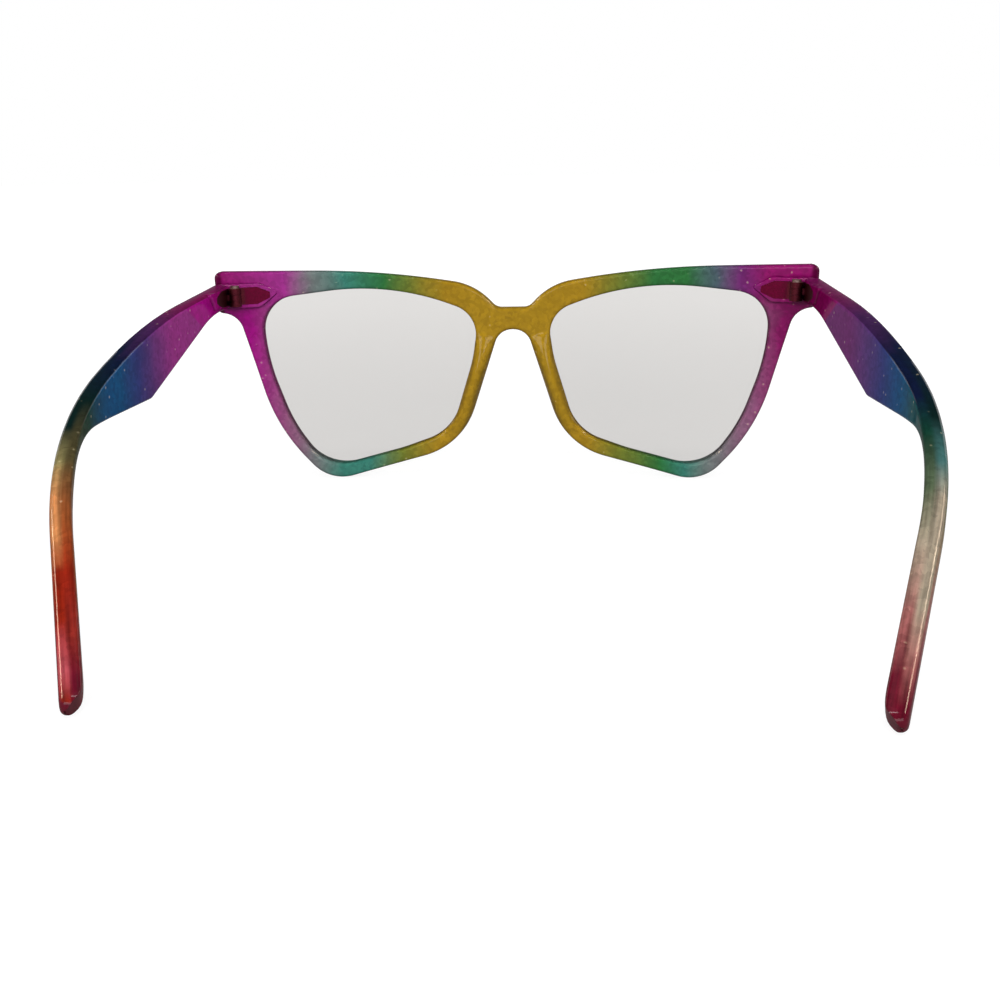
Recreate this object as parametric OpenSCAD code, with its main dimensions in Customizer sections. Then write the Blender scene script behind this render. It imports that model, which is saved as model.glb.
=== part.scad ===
// Cat eye eyeglasses: a moulded plastic front with a spherical base curve, two glazed lenses,
// and two wide angular temples on three-knuckle screw hinges.
// X runs across the front towards the wearer's left, Y from the front to the ears, Z up.
// The part stands on the two low points of its rims and on the two temple tips, at Z = 0.

/* [Lenses] */
// Width of each lens opening
lens_w = 53.7; // [46.7:0.5:58.2]
// Height of each lens opening
lens_h = 45.4; // [37.4:0.2:50.2]
// Distance between the two lens openings across the nose
bridge_w = 19; // [16.4:0.2:24]
// Thickness of a lens
lens_t = 1.8; // [1:0.1:2.4]
// How far a lens edge reaches into the rim
lens_bite = 0.8; // [0.4:0.1:1.4]
// Free space round a lens in its groove
lens_gap = 0.06; // [0.03:0.01:0.15]

/* [Front] */
// Width of the rim round the lenses
rim_w = 3.8; // [3.2:0.1:5]
// Thickness of the front
front_t = 3.6; // [3.4:0.1:4.6]
// Radius of the base curve on the wearer's side
base_r = 320; // [260:5:500]
// Rise of the brow line above the lens openings
brow_w = 5.3; // [4.4:0.1:7]
// Reach of an end piece outside the lens opening
end_reach = 10.7; // [10:0.1:14]
// Height of an end piece
end_h = 10.2; // [9:0.1:12]
// Depth of the dip in the brow line over the bridge
bridge_drop = 10.8; // [8:0.1:11.6]
// Height of the bridge bar
bridge_h = 5.6; // [4.6:0.1:8]
// Radius of the softened edges
edge_r = 0.9; // [0.4:0.1:1.2]
// Height of the nose pads behind the rim
pad_rise = 2.4; // [1.2:0.1:3.4]

/* [Temples] */
// Distance from the end piece to the tip of a temple, measured straight back
temple_reach = 131.2; // [117.2:0.5:142.2]
// Thickness of a temple
temple_t = 3.8; // [3:0.1:4.4]
// Extra thickness of a temple at its hinge
temple_boss = 0.4; // [0.2:0.05:0.8]
// Height of a temple at its hinge
temple_root_h = 6; // [5.6:0.1:7.2]
// Distance of the temple's top edge below the brow line
temple_step = 3; // [2:0.1:3.4]
// Length of the level stretch under a temple's root
root_reach = 10; // [8:0.5:16]
// Distance from the end piece to the lower corner of the blade
blade_reach = 46.8; // [40.3:0.5:58.3]
// Depth of the blade's lower corner below the hinge's lower edge
blade_drop = 13; // [9:0.2:15.8]
// Distance from the end piece to where the blade turns into the ear piece
ear_reach = 81.5; // [72:0.5:88]
// Width of the ear piece at the tip
tip_w = 3.8; // [3.4:0.1:6]
// Angle of the ear piece below the horizontal
ear_angle = 34; // [30:0.5:40]
// Fall of the temple's top edge from the hinge
top_angle = 4.6; // [2:0.2:8]
// Outward splay of the temples
splay = 5.7; // [1:0.1:7]
// Inward turn of the ear pieces
ear_turn = 22.2; // [14.2:0.2:26]
// Distance from the end piece to the middle of the inward turn
turn_reach = 84.1; // [78.1:0.5:98.1]

/* [Hinges] */
// Radius of the hinge knuckles
knuckle_r = 1.5; // [1.2:0.05:1.7]
// Height of one hinge knuckle
knuckle_h = 1.45; // [1.2:0.05:1.7]
// Free space between neighbouring knuckles
knuckle_gap = 0.06; // [0.03:0.01:0.15]
// Radius of the hinge screw's shank
screw_r = 0.65; // [0.5:0.05:0.8]
// Running clearance of the screw in its bores
screw_gap = 0.04; // [0.02:0.01:0.08]
// Radius of the hinge screw's head
head_r = 1.1; // [0.9:0.05:1.3]
// Height of the hinge screw's head
head_h = 0.6; // [0.4:0.05:0.8]
// Thickness of the hinge leaves
leaf_t = 0.8; // [0.6:0.05:1]
// Length of the hinge leaves
leaf_len = 8; // [6:0.5:9]

/* [Hidden] */

// Angle between the points of a drawn arc, the share of a side that arcs may take, and the
// fineness of spheres and bores
arc_step = 6;
arc_room = 0.98;
sphere_fn = 180;
bore_fn = 48;
pad_fn = 24;
// Clearances between pieces that seat or pass each other
seat_gap = 0.05;
butt_gap = 0.15;
turn_gap = 0.25;
// A length longer than the whole part, and a cut that runs past a face
far = 400;
past = 1;
tiny = 0.001;

// Vector along a line
function unit(v) = v / norm(v);
// Quarter turn to the left
function left_of(v) = [-v.y, v.x];
function before(p, i) = p[(i + len(p) - 1) % len(p)];
function after(p, i) = p[(i + 1) % len(p)];
function place(q) = [q[0], q[1]];

// An outline is a list of corners [x, y, radius], anticlockwise.
// Each side moves outwards by d, and the corner radii follow.
function moved(p, d) = [for (i = [0:len(p) - 1])
    let (
        u = unit(place(p[i]) - place(before(p, i))),
        v = unit(place(after(p, i)) - place(p[i])),
        m = -(left_of(u) + left_of(v)) / (1 + u * v),
        q = place(p[i]) + d * m
    )
    [q.x, q.y, max(0, p[i][2] + d * sign(cross(u, v)))]];

// Length that the arc of corner i takes from each of its two sides
function run(p, i) =
    let (u = unit(place(p[i]) - place(before(p, i))), v = unit(place(after(p, i)) - place(p[i])))
    p[i][2] * tan(acos(min(1, u * v)) / 2);
// Where two arcs would meet on a side, both become smaller by the same share
function fitting(p, i) =
    let (
        j = (i + len(p) - 1) % len(p),
        k = (i + 1) % len(p),
        first = arc_room * norm(place(p[i]) - place(p[j])) / max(tiny, run(p, j) + run(p, i)),
        second = arc_room * norm(place(p[k]) - place(p[i])) / max(tiny, run(p, i) + run(p, k))
    )
    min(1, first, second);

// Points of the arc of radius r that rounds corner b between a and c
function corner_arc(a, b, c, r) =
    let (
        u = unit(b - a),
        v = unit(c - b),
        s = sign(cross(u, v)),
        turn = acos(min(1, u * v)),
        centre = b - u * r * tan(turn / 2) + s * r * left_of(u),
        spoke = -s * r * left_of(u),
        n = max(1, ceil(turn / arc_step))
    )
    r <= 0 || turn < 1 ? [b] :
    [for (k = [0:n])
        let (w = s * turn * k / n)
        centre + [spoke.x * cos(w) - spoke.y * sin(w), spoke.x * sin(w) + spoke.y * cos(w)]];

// The outline with every corner rounded
function rounded(p) = [for (i = [0:len(p) - 1])
    each corner_arc(place(before(p, i)), place(p[i]), place(after(p, i)), p[i][2] * fitting(p, i))];

// Softened edge: how far the outline and the face step back at 0, 45 and 90 degrees of the rounding
edge_steps = [for (a = [0:45:90]) [edge_r * (1 - cos(a)), edge_r * (1 - sin(a))]];

// Lens opening, its corners as shares of the opening's box
lens_x = bridge_w / 2;
lens_shares = [
    [-0.016, 0.842, 7.7], [0.017, 0.587, 34], [0.126, 0.169, 13],
    [0.366, 0.072, 45], [0.736, -0.036, 11.7], [0.895, 0.241, 39],
    [0.994, 0.599, 50], [1.007, 0.951, 9], [0.403, 1.029, 66]
];
function lens_corner(k) = [lens_x + lens_w * lens_shares[k][0], lens_h * lens_shares[k][1]];
lens_raw = [for (k = [0:len(lens_shares) - 1]) [lens_corner(k).x, lens_corner(k).y, lens_shares[k][2]]];

// Half of the front's outline, from under the bridge round the rim to the top of the bridge.
// The brow line is highest at its ends, and bows down at a share of the lens width.
brow_share = 0.46;
half_w = lens_x + lens_w + end_reach;
brow_z = lens_h + brow_w;
end_z = brow_z - end_h;
bridge_z = brow_z - bridge_drop;
// Rim corners: number of the lens corner, the steps away from it as shares of the rim's width,
// and the radius
rim_shares = [[2, -0.755, -0.995, 19], [4, -0.163, -0.887, 10.4], [5, 1.005, -0.303, 45]];
rim_corners = [for (s = rim_shares)
    [lens_corner(s[0]).x + rim_w * s[1], lens_corner(s[0]).y + rim_w * s[2], s[3]]];
arch_half = 3.5;
arch_r = 4.6;
cove_reach = 2;
cove_fall = 0.85;
cove_r = 5.2;
end_r = 1.6;
brow_bow = 1;
brow_r = 240;
shoulder = [1, 4.95];
shoulder_r = 16.5;
bridge_half = 4.1;
bridge_r = 3;
half_outline = [
    [arch_half, bridge_z - bridge_h, arch_r],
    each rim_corners,
    [lens_x + lens_w + rim_w + cove_reach, end_z - cove_fall, cove_r],
    [half_w, end_z, end_r],
    [half_w, brow_z, end_r],
    [lens_x + lens_w * brow_share, brow_z - brow_bow, brow_r],
    [lens_corner(0).x + shoulder.x, brow_z - shoulder.y, shoulder_r],
    [bridge_half, bridge_z, bridge_r]
];
// The other half is its mirror image, taken in the opposite order
outline_raw = concat(half_outline, [for (i = [len(half_outline) - 1:-1:0])
    [-half_outline[i][0], half_outline[i][1], half_outline[i][2]]]);
floor_z = min([for (q = rounded(outline_raw)) q.y]);
function lifted(p) = [for (q = p) [q[0], q[1] - floor_z, q[2]]];
outline = lifted(outline_raw);
lens_outline = lifted(lens_raw);
front_top = brow_z - floor_z;

// Base curve: a sphere behind the front, whose rear face meets Y = 0 at the ends of the front
curve_z = front_top / 2;
curve_y = sqrt(pow(base_r, 2) - pow(half_w, 2));
function rear_y(x, z) = curve_y - sqrt(pow(base_r, 2) - pow(x, 2) - pow(z - curve_z, 2));
// Foremost point, at the lower edge of the bridge
bridge_low_z = bridge_z - bridge_h - floor_z + edge_r;
front_y = curve_y - sqrt(pow(base_r + front_t, 2) - pow(bridge_low_z - curve_z, 2));

// Hinge seat on the rear of the end piece, and the hinge's axis
root_top = front_top - temple_step;
root_z = root_top - temple_root_h;
hinge_z = (root_top + root_z) / 2;
seat_rise = 0.3;
seat_y = rear_y(half_w, front_top) + seat_rise;
hinge_y = seat_y + knuckle_r + turn_gap;
butt_y = seat_y + butt_gap;
inner_x = half_w - (temple_t + temple_boss) / cos(splay);
hinge_x = inner_x + tan(splay) * (hinge_y - butt_y) - knuckle_r - turn_gap;
stack_h = 3 * knuckle_h + 2 * knuckle_gap;
bore_r = screw_r + screw_gap;
leaf_inset = 0.15;
leaf_h = stack_h - 2 * leaf_inset;
// A leaf is straight for a share of its length, and tapers to a share of its height
leaf_straight = 0.6;
leaf_end = 1 / 3;
// Webs from the knuckles to the leaves: their two sides, as shares of the knuckle's radius
front_web = [-0.7, -0.2];
temple_web = [-0.33, 0.47];

// Boss that carries the front leaf: where it rises from the rear face, and where it is level
boss_lead = 1.6;
boss_x = hinge_x - leaf_len - boss_lead;
boss_back = 0.4;
boss_flat_x = hinge_x - boss_back;
boss_taper = 4.4;
boss_nose = 0.6;
plate_lap = 0.2;
boss_angle = atan2(seat_y - rear_y(boss_x, hinge_z), boss_flat_x - boss_x);

// Thick root of a temple round its leaf, and the length over which it runs out
root_len = leaf_len + 2;
root_out = 3;

// Side view of a temple, as [y, z, radius] corners
end_y = butt_y + temple_reach;
tip_top_z = tip_w * cos(ear_angle);
bend_y = (tip_top_z + tan(ear_angle) * end_y - root_top - tan(top_angle) * butt_y)
    / (tan(ear_angle) - tan(top_angle));
bend_z = root_top - tan(top_angle) * (bend_y - butt_y);
root_r = 0.8;
widening_r = 40;
blade_r = 2.5;
ear_r = 29;
tip_r = 1.8;
bend_r = 165;
function side_corners(tip_z) = [
    [butt_y, root_z, root_r],
    [butt_y + root_reach, root_z, widening_r],
    [seat_y + blade_reach, root_z - blade_drop, blade_r],
    [seat_y + ear_reach, root_z - blade_drop, ear_r],
    [end_y - tip_w * sin(ear_angle), tip_z, tip_r],
    [end_y, tip_z + tip_top_z, tip_r],
    [bend_y, bend_z, bend_r],
    [butt_y, root_top, root_r]
];
// The tip's two corners go down until its rounded end touches the floor
tip_lift = min([for (q = rounded(side_corners(0))) q.y]);
side_outline = side_corners(-tip_lift);

// Top view of a temple's outer face, as [x, y] corners
turn_y = seat_y + turn_reach;
turn_x = half_w + tan(splay) * (turn_y - butt_y);
face = [
    [half_w - tan(splay) * past, butt_y - past],
    [turn_x, turn_y],
    [turn_x - tan(ear_turn) * (end_y + past - turn_y), end_y + past]
];
turn_r = 84;

// Tip seen square to its top edge: a level end next to the outer face, then a rounded slant to the
// inner face.
// Corners are [depth below the outer face, distance before the end, radius].
tip_face_x = turn_x - tan(ear_turn) * (end_y - turn_y);
tip_turn = atan(tan(ear_turn) * cos(ear_angle));
tip_slant = [
    [-past, -0.3], [0.3 * temple_t, -0.3, 1.2], [0.9 * temple_t, 2.3, 4], [1.1 * temple_t, 6.5]
];

// Nose pads: place along the nose side of the rim, as a share of it, and radius.
// All balls of a pad have their centres at the same height over the rim.
pad_r = 1.9;
pad_crest = [[0.76, 1.1], [0.5, pad_r], [0.26, 1.4]];

// Middle of the part from front to back, where its origin lies
origin_y = (front_y + max([for (q = rounded(side_outline)) q.x])) / 2;

module settle() {
    translate([0, -origin_y, 0]) children();
}

// An outline in X and Z, cut through the front
module through(points) {
    translate([0, far / 4, 0]) rotate([90, 0, 0]) linear_extrude(far / 2) polygon(points);
}

// The shell between two heights above the wearer's side of the base curve
module shell(low, high) {
    translate([0, curve_y, curve_z]) difference() {
        sphere(r = base_r + high, $fn = sphere_fn);
        sphere(r = base_r + low, $fn = sphere_fn);
    }
}

// Both lens openings, grown by d
module openings(d) {
    for (side = [0, 1]) mirror([side, 0, 0]) through(rounded(moved(lens_outline, d)));
}

// Lens groove, or the lens itself with a negative gap
module lens_solid(bite, gap) {
    intersection() {
        through(rounded(moved(lens_outline, bite)));
        shell((front_t - lens_t) / 2 - gap, (front_t + lens_t) / 2 + gap);
    }
}

// Nose pad moulded on the rear of the rim
module nose_pad() {
    hull() for (c = pad_crest) {
        foot = place(outline[1]) * (1 - c[0]) + place(outline[0]) * c[0];
        x = foot.x + edge_r + c[1];
        translate([x, rear_y(x, foot.y) + pad_rise - pad_r, foot.y]) sphere(r = c[1], $fn = pad_fn);
    }
}

// Boss that carries the hinge on the rear of an end piece
module hinge_boss() {
    intersection() {
        translate([0, 0, root_z]) linear_extrude(temple_root_h) polygon([
            [boss_x, rear_y(boss_x, root_z) - past], [half_w - edge_r, rear_y(half_w, root_z) - past],
            [half_w - edge_r, seat_y], [boss_flat_x, seat_y], [boss_x, rear_y(boss_x, hinge_z)]
        ]);
        through([
            [boss_x, hinge_z + boss_nose], [boss_x + boss_taper, root_z], [half_w, root_z],
            [half_w, root_top], [boss_x + boss_taper, root_top]
        ]);
    }
}

// A leaf lies along +X from its knuckle with its face at Y = 0, and tapers at its free end.
// A pocket for it is larger all round, and open at the face.
module leaf(grow) {
    length = leaf_len + 2 * grow;
    height = leaf_h + 2 * grow;
    open = grow > 0 ? past : 0;
    translate([-grow, leaf_t + grow, 0]) rotate([90, 0, 0]) linear_extrude(leaf_t + grow + open) polygon([
        [0, -height / 2], [length * leaf_straight, -height / 2], [length, -height * leaf_end / 2],
        [length, height * leaf_end / 2], [length * leaf_straight, height / 2], [0, height / 2]
    ]);
}

// Plate of the front leaf, let into the boss
module front_plate(grow) {
    translate([boss_flat_x + plate_lap, seat_y + plate_lap * tan(boss_angle), hinge_z])
        rotate([0, 0, 180 + boss_angle]) leaf(grow);
}

// Plate of the temple leaf, let into the temple's inner face
module temple_plate(grow) {
    translate([inner_x + tan(splay) * (hinge_y - butt_y), hinge_y, hinge_z])
        rotate([0, 0, 90 - splay]) translate([-knuckle_r / 2, 0, 0]) mirror([0, 1, 0]) leaf(grow);
}

module front_body() {
    difference() {
        union() {
            for (s = edge_steps) difference() {
                intersection() {
                    through(rounded(moved(outline, -s[0])));
                    shell(s[1], front_t - s[1]);
                }
                openings(s[0]);
            }
            for (side = [0, 1]) mirror([side, 0, 0]) {
                nose_pad();
                hinge_boss();
            }
        }
        for (side = [0, 1]) mirror([side, 0, 0]) {
            lens_solid(lens_bite + lens_gap, lens_gap);
            front_plate(seat_gap);
        }
    }
}

// One layer of the temple: its side view within a band of the plan
module temple_layer(points, low, high) {
    intersection() {
        rotate([90, 0, 90]) linear_extrude(far / 4) polygon(points);
        translate([0, 0, -past]) linear_extrude(front_top + 2 * past) polygon(band(low, high));
    }
}

// Plan of a band of the temple between two depths below its outer face
function face_at(d) = [for (i = [0:2])
    let (
        u = unit(face[min(i + 1, 2)] - face[min(i, 1)]),
        v = unit(face[max(i, 1)] - face[max(i - 1, 0)]),
        m = (left_of(u) + left_of(v)) / (1 + u * v)
    )
    face[i] + d * m];
function band(low, high) =
    let (a = face_at(low), b = face_at(high))
    concat(
        [a[0]], corner_arc(a[0], a[1], a[2], turn_r - low), [a[2]],
        [b[2]], corner_arc(b[2], b[1], b[0], turn_r - high), [b[0]]
    );

// The room behind the slant of the tip, to cut away
module tip_room() {
    last = len(tip_slant) - 1;
    translate([tip_face_x, end_y, tip_top_z - tip_lift]) rotate([-ear_angle, 0, 0])
        translate([0, 0, -far / 4]) linear_extrude(far / 2) rotate(tip_turn) rotate(180)
            polygon(concat(
                [place(tip_slant[0])],
                [for (i = [1:last - 1]) each corner_arc(
                    place(tip_slant[i - 1]), place(tip_slant[i]), place(tip_slant[i + 1]), tip_slant[i][2])],
                [place(tip_slant[last]), [tip_slant[last].x + past, tip_slant[last].y],
                    [tip_slant[last].x + past, -2 * past], [-past, -2 * past]]
            ));
}

module temple_body() {
    difference() {
        union() {
            for (s = edge_steps)
                temple_layer(rounded(moved(side_outline, -s[0])), s[1], temple_t - s[1]);
            temple_layer([
                [butt_y, root_z + edge_r], [butt_y + root_len, root_z + edge_r],
                [butt_y + root_len + root_out, root_top - edge_r], [butt_y, root_top - edge_r]
            ], temple_t / 2, temple_t + temple_boss);
        }
        temple_plate(seat_gap);
        tip_room();
    }
}

// One knuckle, k = 0 lowest
function knuckle_z(k) = hinge_z - stack_h / 2 + k * (knuckle_h + knuckle_gap);
module knuckle(k) {
    translate([hinge_x, hinge_y, knuckle_z(k)])
        cylinder(r = knuckle_r, h = knuckle_h, $fn = bore_fn);
}

module screw_bore() {
    translate([hinge_x, hinge_y, hinge_z - stack_h])
        cylinder(r = bore_r, h = 2 * stack_h, $fn = bore_fn);
}

module front_hinge() {
    difference() {
        union() {
            front_plate(0);
            for (k = [0, 2]) {
                knuckle(k);
                translate([hinge_x + front_web[0] * knuckle_r, seat_y - leaf_t / 2,
                    knuckle_z(k) + (k == 0 ? leaf_inset : 0)])
                    cube([(front_web[1] - front_web[0]) * knuckle_r, hinge_y - seat_y,
                        knuckle_h - leaf_inset]);
            }
        }
        screw_bore();
    }
}

module temple_hinge() {
    difference() {
        union() {
            temple_plate(0);
            knuckle(1);
            translate([hinge_x, hinge_y + temple_web[0] * knuckle_r, knuckle_z(1)])
                cube([
                    knuckle_r + turn_gap + leaf_t / 2, (temple_web[1] - temple_web[0]) * knuckle_r, knuckle_h
                ]);
        }
        screw_bore();
    }
}

module hinge_screw() {
    top = hinge_z + stack_h / 2;
    slot_w = head_r / 4;
    difference() {
        translate([hinge_x, hinge_y, 0]) {
            translate([0, 0, top - stack_h]) cylinder(r = screw_r, h = stack_h + head_h / 2, $fn = bore_fn);
            translate([0, 0, top]) cylinder(r = head_r, h = head_h, $fn = bore_fn);
        }
        translate([hinge_x - head_r - past, hinge_y - slot_w / 2, top + head_h / 2])
            cube([2 * (head_r + past), slot_w, head_h]);
    }
}

module front_frame() color("mediumvioletred") settle() front_body();
module left_lens() color("lightgrey", 0.4) settle() lens_solid(lens_bite, 0);
module right_lens() color("lightgrey", 0.4) settle() mirror([1, 0, 0]) lens_solid(lens_bite, 0);
module left_temple() color("rebeccapurple") settle() temple_body();
module right_temple() color("rebeccapurple") settle() mirror([1, 0, 0]) temple_body();
module left_front_hinge() color("silver") settle() front_hinge();
module right_front_hinge() color("silver") settle() mirror([1, 0, 0]) front_hinge();
module left_temple_hinge() color("silver") settle() temple_hinge();
module right_temple_hinge() color("silver") settle() mirror([1, 0, 0]) temple_hinge();
module left_hinge_screw() color("gainsboro") settle() hinge_screw();
module right_hinge_screw() color("gainsboro") settle() mirror([1, 0, 0]) hinge_screw();

front_frame();
left_lens();
right_lens();
left_temple();
right_temple();
left_front_hinge();
right_front_hinge();
left_temple_hinge();
right_temple_hinge();
left_hinge_screw();
right_hinge_screw();
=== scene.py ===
import math

import bpy
import numpy as np
from mathutils import Matrix, Vector


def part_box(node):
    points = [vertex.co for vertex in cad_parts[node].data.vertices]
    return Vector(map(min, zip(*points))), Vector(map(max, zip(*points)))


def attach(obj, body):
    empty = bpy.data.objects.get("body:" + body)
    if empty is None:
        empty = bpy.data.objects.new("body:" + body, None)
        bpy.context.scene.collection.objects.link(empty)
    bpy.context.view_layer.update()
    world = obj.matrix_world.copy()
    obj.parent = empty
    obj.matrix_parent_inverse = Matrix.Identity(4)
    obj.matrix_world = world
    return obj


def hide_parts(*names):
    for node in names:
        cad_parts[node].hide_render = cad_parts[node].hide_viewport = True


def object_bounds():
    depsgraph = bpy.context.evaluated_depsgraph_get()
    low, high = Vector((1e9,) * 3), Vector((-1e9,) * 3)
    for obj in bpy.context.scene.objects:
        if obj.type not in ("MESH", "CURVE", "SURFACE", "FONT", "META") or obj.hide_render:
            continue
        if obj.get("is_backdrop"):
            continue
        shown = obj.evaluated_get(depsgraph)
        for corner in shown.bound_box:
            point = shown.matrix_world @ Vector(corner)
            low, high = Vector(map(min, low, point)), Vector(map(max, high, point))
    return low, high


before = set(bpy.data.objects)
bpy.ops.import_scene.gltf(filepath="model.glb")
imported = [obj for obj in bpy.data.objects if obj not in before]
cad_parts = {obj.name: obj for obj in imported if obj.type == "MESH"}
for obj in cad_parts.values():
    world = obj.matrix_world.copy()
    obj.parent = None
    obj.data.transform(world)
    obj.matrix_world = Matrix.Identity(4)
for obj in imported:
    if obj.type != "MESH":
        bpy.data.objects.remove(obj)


def plainBounds():
    # Lowest and highest corner of everything, in metres, as plain lists
    return [[float(c) for c in corner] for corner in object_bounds()]


sizes = {"frame": plainBounds()}
millimetre = 0.001
print("stage: frame loaded", sizes["frame"])


# Colours and shader nodes

def linear(code):
    # sRGB to linear light: c / 12.92 for dark values, else ((c + 0.055) / 1.055) to the power 2.4
    c = np.array([int(code[i:i + 2], 16) for i in (1, 3, 5)]) / 255
    return (*[float(v) for v in np.where(c <= 0.04045, c / 12.92, ((c + 0.055) / 1.055) ** 2.4)], 1.0)


def newMaterial(name):
    # A material whose node tree is still empty
    material = bpy.data.materials.new(name)
    material.use_nodes = True
    material.node_tree.nodes.clear()
    return material


def addNode(tree, kind, inputs=(), **settings):
    # inputs: pairs of socket and either a constant or another node's output
    node = tree.nodes.new(kind)
    for key, value in settings.items():
        setattr(node, key, value)
    for socket, value in dict(inputs).items():
        if isinstance(value, bpy.types.NodeSocket):
            tree.links.new(value, node.inputs[socket])
        else:
            node.inputs[socket].default_value = value
    return node


def colourAlong(tree, value, stops):
    # Dyes at places in millimetres along a value in metres
    low, high = stops[0][0], stops[-1][0]
    place = addNode(tree, "ShaderNodeMapRange", {
        "Value": value, "From Min": low * millimetre, "From Max": high * millimetre})
    ramp = addNode(tree, "ShaderNodeValToRGB", {"Fac": place.outputs[0]})
    ends = ramp.color_ramp.elements
    for index, (at, dye) in enumerate(stops):
        share = (at - low) / (high - low)
        stop = ends[0] if index == 0 else ends[-1] if index == len(stops) - 1 else ends.new(share)
        stop.position = share
        stop.color = linear(dyes[dye])
    return ramp.outputs["Color"]


# Outlines and surfaces

def leftOf(v):
    # A quarter turn to the left: (x, y) becomes (-y, x)
    return np.stack([-v[..., 1], v[..., 0]], -1)


def roundedLoop(corners, arcSteps=14):
    # Corners [a, b, radius]; each becomes an arc that touches both sides.
    # Arc centre = corner - u r tan(turn / 2) + left(u) r, for sides along u and v.
    c = np.array([k[:2] for k in corners], float)
    r = np.array([k[2] for k in corners], float)
    u = c - np.roll(c, 1, 0)
    u /= np.linalg.norm(u, axis=1)[:, None]
    v = np.roll(u, -1, 0)
    side = np.sign(u[:, 0] * v[:, 1] - u[:, 1] * v[:, 0])
    turn = np.arccos(np.clip((u * v).sum(1), -1, 1))
    centre = c - u * (r * np.tan(turn / 2))[:, None] + (side * r)[:, None] * leftOf(u)
    spoke = -(side * r)[:, None] * leftOf(u)
    w = (side * turn)[:, None] * np.linspace(0, 1, arcSteps + 1)[None]
    return np.stack([spoke[:, :1] * np.cos(w) - spoke[:, 1:] * np.sin(w),
                     spoke[:, :1] * np.sin(w) + spoke[:, 1:] * np.cos(w)], -1) + centre[:, None]


def lengthsAlong(path):
    # Length up to each point: the running sum of the steps
    return np.concatenate([[0], np.cumsum(np.linalg.norm(np.diff(path, axis=0), axis=1))])


def pointsAt(path, places):
    # Points at these lengths along the path, on straight lines between its own points
    lengths = lengthsAlong(path)
    return np.stack([np.interp(places, lengths, path[:, k]) for k in (0, 1)], -1)


def toLoop(points, loop):
    # Distance to the nearest side: |p - a - s clamp((p - a).s / s.s, 0, 1)|
    a, s = loop, np.roll(loop, -1, 0) - loop
    keep = (s ** 2).sum(1) > 1e-12
    a, s = a[keep], s[keep]
    best = np.full(points.shape[:-1], np.inf)
    for start, step in zip(a, s):
        w = points - start
        t = np.clip((w @ step) / (step @ step), 0, 1)
        best = np.minimum(best, np.linalg.norm(w - t[..., None] * step, axis=-1))
    return best


def inside(points, corners):
    # Signed depth inside a convex polygon given anticlockwise: least of left(side) . (p - corner)
    c = np.array(corners, float)
    s = np.roll(c, -1, 0) - c
    n = leftOf(s / np.linalg.norm(s, axis=1)[:, None])
    return np.min([(points - a) @ m for a, m in zip(c, n)], axis=0)


def stretched(matches):
    # Places along two paths at once: even steps from each match to the next, in the count it gives
    rows = [np.array([matches[0][:2]], float)]
    for (a0, b0, _), (a1, b1, steps) in zip(matches, matches[1:]):
        t = np.arange(1, steps + 1)[:, None] / steps
        rows.append(np.array([a0, b0]) * (1 - t) + np.array([a1, b1]) * t)
    return np.concatenate(rows)


# Grid lines beside a softened edge, by distance from it in millimetres, and lines even between them
nearEdge = np.array([0, 0.05, 0.14, 0.28, 0.46, 0.68, 0.92])
evenLines = 16


def sharesAcross(span):
    # Shares of the way across: the near lines of one edge, the even lines, the near lines of the other
    even = np.linspace(0, 1, evenLines)[None, 1:-1]
    last = nearEdge[-1]
    return np.concatenate([
        nearEdge / span, (last + (span - 2 * last) * even) / span, 1 - nearEdge[::-1] / span], 1)


def softEdge(d, r):
    # Fall of a face at distance d from its edge: r - sqrt(r^2 - (r - d)^2)
    k = r - np.clip(d, 0, r)
    return r - np.sqrt(np.maximum(r * r - k * k, 0))


def smoothStep(t):
    # t^2 (3 - 2 t) from 0 to 1
    t = np.clip(t, 0, 1)
    return t * t * (3 - 2 * t)


def gridFaces(rows, columns, rowsClosed, columnsClosed):
    # Faces of four neighbouring grid points; a closed grid's last line meets its first
    n = np.arange(rows * columns).reshape(rows, columns)
    if rowsClosed:
        n = np.concatenate([n, n[:1]])
    if columnsClosed:
        n = np.concatenate([n, n[:, :1]], 1)
    return np.stack([n[:-1, :-1], n[1:, :-1], n[1:, 1:], n[:-1, 1:]], -1).reshape(-1, 4)


def welded(points, faces):
    # Points on the same thousandth of a millimetre become one; faces drop repeated corners
    _, first, place = np.unique(np.round(points * 1000), axis=0, return_index=True, return_inverse=True)
    place = place.reshape(-1)
    kept = []
    for f in place[faces].tolist():
        g = [v for v, w in zip(f, f[1:] + f[:1]) if v != w]
        if len(g) > 2:
            kept.append(g)
    return points[first], kept


def facingOut(points, faces):
    # Six times the volume, as the sum of a . (b x c) over triangles; turned over if negative
    total = 0.0
    for n in (3, 4):
        f = np.array([g for g in faces if len(g) == n], int).reshape(-1, n)
        for k in range(1, n - 1):
            a, b, c = points[f[:, 0]], points[f[:, k]], points[f[:, k + 1]]
            total += (a * np.cross(b, c)).sum()
    return faces if total > 0 else [g[::-1] for g in faces]


def joined(parts):
    # Several meshes as one: the faces of each count on from the points before it
    points, faces, start = [], [], 0
    for p, f in parts:
        points.append(p)
        faces += [[v + start for v in g] for g in f]
        start += len(p)
    return np.concatenate(points), faces


def mirrored(part):
    # Mirror image in x, its faces turned over
    return part[0] * [-1, 1, 1], [f[::-1] for f in part[1]]


sharpAngle = 32  # degrees between faces from which an edge stays sharp


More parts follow.
